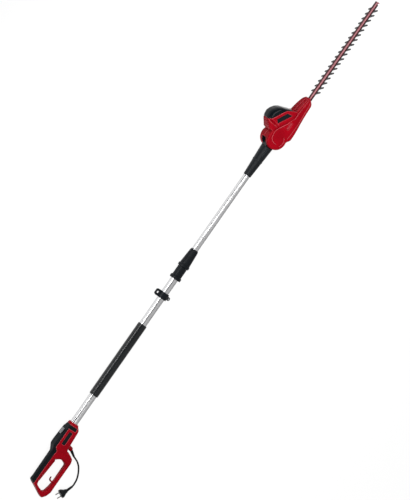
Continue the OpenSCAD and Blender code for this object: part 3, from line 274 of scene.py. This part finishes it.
def paint(obj, m):
    """Gives the whole object one material."""
    obj.data.materials.clear()
    obj.data.materials.append(m)
    for f in obj.data.polygons:
        f.material_index = 0


# ---------- finished forms ----------

BODY_OF = {n: b for b, ns in frame["record"]["behaviour"]["bodies"].items() for n in ns}


def stands_for(obj, node):
    """The object takes the node's place, on its body."""
    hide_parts(node)
    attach(obj, BODY_OF[node])


def smooth(mesh):
    """Smooth shading by the faces as they are, without normals kept from the CAD file."""
    if "custom_normal" in mesh.attributes:
        mesh.attributes.remove(mesh.attributes["custom_normal"])
    mesh.polygons.foreach_set("use_smooth", [True] * len(mesh.polygons))


def weld(obj):
    """Joins points that lie in one place."""
    obj.modifiers.new("weld", "WELD").merge_threshold = WELD


def bevel(obj, width, angle):
    """Rounds the edges that turn by more than the angle, and evens the shading of the rest."""
    edge = obj.modifiers.new("edge", "BEVEL")
    edge.width = width
    edge.limit_method = "ANGLE"
    edge.angle_limit = math.radians(angle)
    even = obj.modifiers.new("even", "WEIGHTED_NORMAL")
    even.keep_sharp = False
    return edge


def crisp(obj, width=0.0003, angle=32):
    """Narrow rounded edges on a CAD solid, by modifiers alone."""
    smooth(obj.data)
    weld(obj)
    flat = obj.modifiers.new("flat", "DECIMATE")
    flat.decimate_type = "DISSOLVE"
    flat.angle_limit = math.radians(0.6)
    edge = bevel(obj, width, angle)
    edge.segments = 2
    edge.use_clamp_overlap = True


def applied(obj):
    """The object's mesh with its modifiers, as a new mesh."""
    deps = bpy.context.evaluated_depsgraph_get()
    return bpy.data.meshes.new_from_object(obj.evaluated_get(deps))


PARTING_REACH = 0.0008            # points this near the parting plane stay in it


def relax(mesh, weights, rounds):
    """Draws each point to the mean of its neighbours; those on the parting plane stay in it."""
    n = len(mesh.vertices)
    co = np.empty(n * 3)
    mesh.vertices.foreach_get("co", co)
    co = co.reshape(-1, 3)
    edges = np.empty(len(mesh.edges) * 2, int)
    mesh.edges.foreach_get("vertices", edges)
    a, b = edges.reshape(-1, 2).T
    count = np.bincount(np.concatenate((a, b)), minlength=n).reshape(-1, 1)
    w = weights(co).reshape(-1, 1)
    parting = np.abs(co[:, 2] - REAR.z) < PARTING_REACH
    flat = co[parting, 2].copy()
    for _ in range(rounds):
        mean = np.zeros_like(co)
        for k in range(3):
            mean[:, k] = np.bincount(a, co[b, k], n) + np.bincount(b, co[a, k], n)
        co += w * (mean / count - co)
        co[parting, 2] = flat
    mesh.vertices.foreach_set("co", co.ravel())
    mesh.update()


def moulded(node, voxel=0.001, rounds=3, soft_where=None, soft_rounds=30, carve=None):
    """Stands for a CAD shell: its form with soft moulded edges. soft_where weighs the points that
    are drawn smoother still, and carve moves points after that."""
    obj = added("moulded_" + node, nodes[node].data.copy())
    weld(obj)
    grid = obj.modifiers.new("grid", "REMESH")
    grid.mode = "VOXEL"
    grid.voxel_size = voxel
    soft = obj.modifiers.new("soft", "SMOOTH")
    soft.factor = 0.5
    soft.iterations = rounds
    mesh = applied(obj)
    obj.modifiers.clear()
    obj.data = mesh
    if soft_where:
        relax(mesh, soft_where, soft_rounds)
    if carve:
        carve(mesh)
    mesh.polygons.foreach_set("use_smooth", [True] * len(mesh.polygons))
    slot = SLOT_OF[node]
    paint(obj, GLOSS if node == "motor_cap" else PAINTED_LIGHT_BY_SLOT.get(slot, BY_SLOT[slot]))
    stands_for(obj, node)
    return obj


MOULDED = [
    "handle_shell_left", "handle_shell_right", "grip_cover", "front_collar",
    "head_shell_left", "head_shell_right", "motor_cap", "arm_left", "arm_right",
]
UNBEVELLED = MOULDED + ["cord", "tilt_spring", "trigger_spring", "guard_bar"]

for name, obj in nodes.items():
    paint(obj, BY_SLOT[SLOT_OF[name]])
    if name not in UNBEVELLED:
        crisp(obj)

# Cuts along the guard bar's edge, out from its flat middle, so that the rounding has faces to bend
GUARD_CUTS = (0.0, 0.0012, 0.0022, 0.0030, 0.0036, 0.0040)


def rounded_bar(node, flat=0.0068, radius=0.0042):
    """Stands for the guard bar: its upper edge on the +Z side rounded outside the flat middle."""
    mesh = nodes[node].data.copy()
    mid = REAR.z
    bm = bmesh.new()
    bm.from_mesh(mesh)
    bmesh.ops.remove_doubles(bm, verts=bm.verts, dist=WELD)
    for out in GUARD_CUTS:
        bmesh.ops.bisect_plane(
            bm, geom=bm.verts[:] + bm.edges[:] + bm.faces[:], dist=0.000001,
            plane_co=(0, 0, mid + flat + out), plane_no=(0, 0, 1))
    high = max(v.co.y for v in bm.verts)
    for v in bm.verts:
        out = min(max(v.co.z - mid - flat, 0.0), radius)
        if v.co.y > high - 0.0001:
            v.co.y -= radius - math.sqrt(radius * radius - out * out)
    bm.to_mesh(mesh)
    bm.free()
    obj = added("rounded_" + node, mesh)
    smooth(mesh)
    bevel(obj, 0.0002, 40)
    paint(obj, GUARD)
    stands_for(obj, node)


rounded_bar("guard_bar")

# The tilt button's spring, as its own copy of the CAD mesh, takes the CAD spring's place.
spring = added("button_spring", nodes["tilt_spring"].data.copy())
stands_for(spring, "tilt_spring")
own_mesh(spring)


def loop_weight(co):
    """Full on the D-loop's bow, none at the grip and the body; the numbers are metres from the
    handle's rear end."""
    x, y = co[:, 0] - REAR.x, co[:, 1]
    return 0.5 * np.clip((-0.020 - y) / 0.008, 0, 1) * np.clip((0.200 - x) / 0.010, 0, 1)


def all_over(co):
    """The same for every point."""
    return np.full(len(co), 0.5)


def from_pivot(mesh):
    """The mesh's points and normals, the points in millimetres from the tilt pivot."""
    n = len(mesh.vertices)
    co, no = np.empty(n * 3), np.empty(n * 3)
    mesh.vertices.foreach_get("co", co)
    mesh.vertices.foreach_get("normal", no)
    return (co.reshape(-1, 3) - np.array(PIVOT)) * 1000, no.reshape(-1, 3)


def off_line(x, y, line):
    """Distance of each point from a line of points."""
    best = np.full(len(x), 1e9)
    for (ax, ay), (bx, by) in zip(line, line[1:]):
        dx, dy = bx - ax, by - ay
        t = np.clip(((x - ax) * dx + (y - ay) * dy) / (dx * dx + dy * dy), 0, 1)
        best = np.minimum(best, np.hypot(x - ax - t * dx, y - ay - t * dy))
    return best


def ridge(d, width, valley):
    """Depth that leaves a ridge of that width standing between soft valleys."""
    return np.exp(-(d / valley) ** 2) - np.exp(-(d / width) ** 2)


# Raised lines and slots on the sides of the head, in millimetres from the tilt pivot
SHOULDER = [
    (212, -25), (186, -22.9), (163, -20), (135, -17), (115, -13), (89, 0), (71, 6), (54, 17.3),
    (40, 27), (27, 31.5), (10, 31), (-6, 27), (-14, 18), (-18, 6), (-18, -4),
]
LOWER_RIM = [
    (30 * math.cos(math.radians(a)), 30 * math.sin(math.radians(a))) for a in range(-125, -44, 10)
]
LOWER_LINE = [(28, -36), (60, -38), (107, -39), (182, -37), (206, -34)]
GRILLE = [[(58, y), (90, y)] for y in (-6.5, -10.5, -14.5)]
GRILLE_DEPTH = 1.8
RAISED = ((SHOULDER, 1.9), (LOWER_RIM, 1.8), (LOWER_LINE, 1.7))    # each with the depth beside it
RAISED_SHAPE = (1.7, 8.0)                                          # width of line and valleys
SIDE_FROM = 22                                                     # the sides start this far out
NOSE_LINES = (4.5, 17.0)                                           # distances from the middle
NOSE_DEPTH = 1.8
NOSE_SHAPE = (1.5, 5.0)
NOSE_FROM, NOSE_BELOW = 138, 4                                     # the nose's place in x and y


def head_lines(mesh):
    """Carves the ridge lines and small slots that the head's sides and nose show."""
    at, no = from_pivot(mesh)
    x, y, z = at.T
    outward = no[:, 2] * np.sign(z)
    on_side = np.clip((outward - 0.45) / 0.3, 0, 1) * (np.abs(z) > SIDE_FROM)
    depth = np.zeros(len(x))
    for line, amount in RAISED:
        depth += amount * ridge(off_line(x, y, line), *RAISED_SHAPE)
    for slot in GRILLE:
        depth += GRILLE_DEPTH * np.exp(-(off_line(x, y, slot) / 1.2) ** 2)
    at[:, 2] -= np.sign(z) * depth * on_side
    on_top = np.clip((no[:, 1] - 0.6) / 0.3, 0, 1) * (x > NOSE_FROM) * (y < NOSE_BELOW)
    for across in NOSE_LINES:
        at[:, 1] -= NOSE_DEPTH * on_top * ridge(np.abs(z) - across, *NOSE_SHAPE)
    mesh.vertices.foreach_set("co", (at / 1000 + np.array(PIVOT)).ravel())
    mesh.update()


CARVE = {"head_shell_left": head_lines, "head_shell_right": head_lines}

# The arm's room in the head, whose walls are painted black as painted shade, in millimetres from
# the tilt pivot: half width, radius and front end
ROOM_HALF, ROOM_RADIUS, ROOM_FRONT = 23.0, 43, 32
# The cord's hook, in millimetres from the handle's rear end: from and to in x and in y
HOOK_X, HOOK_Y = (68, 100), (-66, -36)


def in_shaded_room(c):
    """Whether a point is on the walls of the room in which the arm swings."""
    c = (c - PIVOT) * 1000
    return abs(c.z) < ROOM_HALF and c.x < ROOM_FRONT and math.hypot(c.x, c.y) < ROOM_RADIUS


def on_hook(c):
    """Whether a point is on the small hook for the cord, inside the D-loop."""
    c = (c - REAR) * 1000
    return HOOK_X[0] < c.x < HOOK_X[1] and HOOK_Y[0] < c.y < HOOK_Y[1]


def paint_where(obj, m, inside):
    """Gives the faces whose middle is inside a second material."""
    obj.data.materials.append(m)
    for f in obj.data.polygons:
        if inside(f.center):
            f.material_index = 1


# Where a piece is drawn smoother, and in how many rounds
SOFT_WHERE = {
    "handle_shell_left": (loop_weight, 16), "handle_shell_right": (loop_weight, 16),
    "motor_cap": (all_over, 40), "grip_cover": (all_over, 10),
}
for name in MOULDED:
    where, amount = SOFT_WHERE.get(name, (None, 0))
    piece = moulded(name, soft_where=where, soft_rounds=amount, carve=CARVE.get(name))
    if name in CARVE:
        # The walls of the arm's room take the black plastic: painted shade
        paint_where(piece, BLACK, in_shaded_room)
    if name.startswith("handle_shell"):
        # The hook's faces take the darker red: painted shade
        paint_where(piece, HOOK_SHADE_RED, on_hook)

# ---------- cord ----------

# The route of the cord, in millimetres from the handle's rear end on the pole's axis
ROUTE_MM = [
    (211, -100, -16), (207, -112, -20), (203, -124, -25), (197, -138, -29.5),
    (186, -154, -33.5), (172, -167, -36), (156, -177, -36.3), (140, -184, -36.3),
    (125, -187.5, -36), (111, -187.5, -34), (100, -184.5, -31),
]
CORD_D = 0.0073


def spline(points, steps):
    """A Catmull-Rom line through the points."""
    ends = [2 * points[0] - points[1]] + points + [2 * points[-1] - points[-2]]
    line = []
    for i in range(1, len(ends) - 2):
        p0, p1, p2, p3 = ends[i - 1:i + 3]
        for k in range(steps):
            t = k / steps
            line.append(0.5 * (2 * p1 + (p2 - p0) * t + (2 * p0 - 5 * p1 + 4 * p2 - p3) * t * t
                               + (3 * p1 - p0 - 3 * p2 + p3) * t ** 3))
    line.append(points[-1])
    low = min(q.y for q in points)                  # the line stays inside the CAD cord's own reach
    return [Vector((q.x, max(q.y, low), q.z)) for q in line]


def tube(name, line, radius, sides=20):
    """A closed tube along the line."""
    verts, faces = [], []
    up = Vector((0, 0, 1))
    for i, q in enumerate(line):
        t = (line[min(i + 1, len(line) - 1)] - line[max(i - 1, 0)]).normalized()
        side = up.cross(t).normalized()
        over = t.cross(side)
        for k in range(sides):
            a = 2 * math.pi * k / sides
            verts.append(q + radius * (math.cos(a) * side + math.sin(a) * over))
    for i in range(len(line) - 1):
        for k in range(sides):
            j = (k + 1) % sides
            faces.append((i * sides + k, i * sides + j, (i + 1) * sides + j, (i + 1) * sides + k))
    faces.append(tuple(range(sides - 1, -1, -1)))
    faces.append(tuple(range((len(line) - 1) * sides, len(line) * sides)))
    mesh = bpy.data.meshes.new(name)
    mesh.from_pydata(verts, [], faces)
    mesh.polygons.foreach_set("use_smooth", [len(f) == 4 for f in faces])
    return added(name, mesh)


cord_line = spline([REAR + Vector(q) / 1000 for q in ROUTE_MM], 6)
mains_cord = tube("mains_cord", cord_line, CORD_D / 2)
paint(mains_cord, CABLE)
stands_for(mains_cord, "cord")

# ---------- floor and light ----------

FLOOR_GLOW = 0.90
WORLD_LIGHT = 0.14

floor_data = bpy.data.meshes.new("floor")
floor_data.from_pydata(
    [(x * FLOOR_HALF, y * FLOOR_HALF, FLOOR_Z) for x, y in ((-1, -1), (1, -1), (1, 1), (-1, 1))],
    [], [(0, 1, 2, 3)])
floor = added("floor", floor_data)
floor_material, tree, p = shader("floor", (0.18, 0.18, 0.18), 0.9)
# The glow is seen by the camera, in mirrors and through glass, and lights nothing else.
out = tree.nodes["Material Output"]
light_path = tree.nodes.new("ShaderNodeLightPath")
seen = tree.nodes.new("ShaderNodeMath")
seen.operation = "MAXIMUM"
sharp = tree.nodes.new("ShaderNodeMath")
sharp.operation = "MAXIMUM"
tree.links.new(light_path.outputs["Is Camera Ray"], seen.inputs[0])
tree.links.new(light_path.outputs["Is Glossy Ray"], seen.inputs[1])
tree.links.new(seen.outputs[0], sharp.inputs[0])
tree.links.new(light_path.outputs["Is Transmission Ray"], sharp.inputs[1])
glow = tree.nodes.new("ShaderNodeEmission")
glow.inputs["Strength"].default_value = FLOOR_GLOW
add = tree.nodes.new("ShaderNodeAddShader")
mix = tree.nodes.new("ShaderNodeMixShader")
tree.links.new(p.outputs[0], add.inputs[0])
tree.links.new(glow.outputs[0], add.inputs[1])
tree.links.new(sharp.outputs[0], mix.inputs[0])
tree.links.new(p.outputs[0], mix.inputs[1])
tree.links.new(add.outputs[0], mix.inputs[2])
tree.links.new(mix.outputs[0], out.inputs["Surface"])
paint(floor, floor_material)
floor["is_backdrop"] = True

world = bpy.data.worlds.new("world")
bpy.context.scene.world = world
world.use_nodes = True
world.node_tree.nodes["Background"].inputs["Color"].default_value = (1, 1, 1, 1)
world.node_tree.nodes["Background"].inputs["Strength"].default_value = WORLD_LIGHT


def softbox(name, bearing, height, distance, size, radiance, x):
    """A soft lamp seen from the tool at that bearing, from +Y towards -Y over the top."""
    a = math.radians(bearing)
    at = Vector((x, math.cos(a) * distance, REAR.z + math.sin(a) * distance))
    data = bpy.data.lights.new(name, "AREA")
    data.shape = "RECTANGLE"
    data.size, data.size_y = size, height
    data.energy = radiance * math.pi * size * height
    obj = added(name, data)
    back = Vector((0, math.cos(a), math.sin(a)))
    side = Vector((1, 0, 0))
    turn = Matrix((side, back.cross(side), back)).transposed().to_4x4()
    turn.translation = at
    obj.matrix_world = turn


# name, bearing, height, distance, size along the pole, radiance and place along the pole
for lamp in (
    ("key", 66, 0.46, 1.2, 1.7, 5.2, 1.22),
    ("handle_key", 76, 0.46, 1.2, 1.2, 2.8, -1.62),
    ("fill", 116, 3.0, 1.6, 4.5, 0.42, 0.0),
    ("middle", 44, 0.14, 1.0, 0.28, 11.5, 0.2),
    ("strip", 24, 0.17, 1.2, 1.0, 13.0, -0.44),
):
    softbox(*lamp)
bpy.context.scene.view_settings.view_transform = "Standard"

# ---------- image points --------------------

SHOWN = [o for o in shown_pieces() if o.type == "MESH"]


def points_of(obj):
    """The points of the finished piece."""
    deps = bpy.context.evaluated_depsgraph_get()
    return [obj.matrix_world @ v.co for v in obj.evaluated_get(deps).data.vertices]


seen_points = {o.name: [seen_at(q) for q in points_of(o)] for o in SHOWN}


def middle(*names):
    """The middle of a piece's box in the picture."""
    ps = [q for n in names for q in seen_points[n]]
    return tuple((min(q[k] for q in ps) + max(q[k] for q in ps)) / 2 for k in (0, 1))
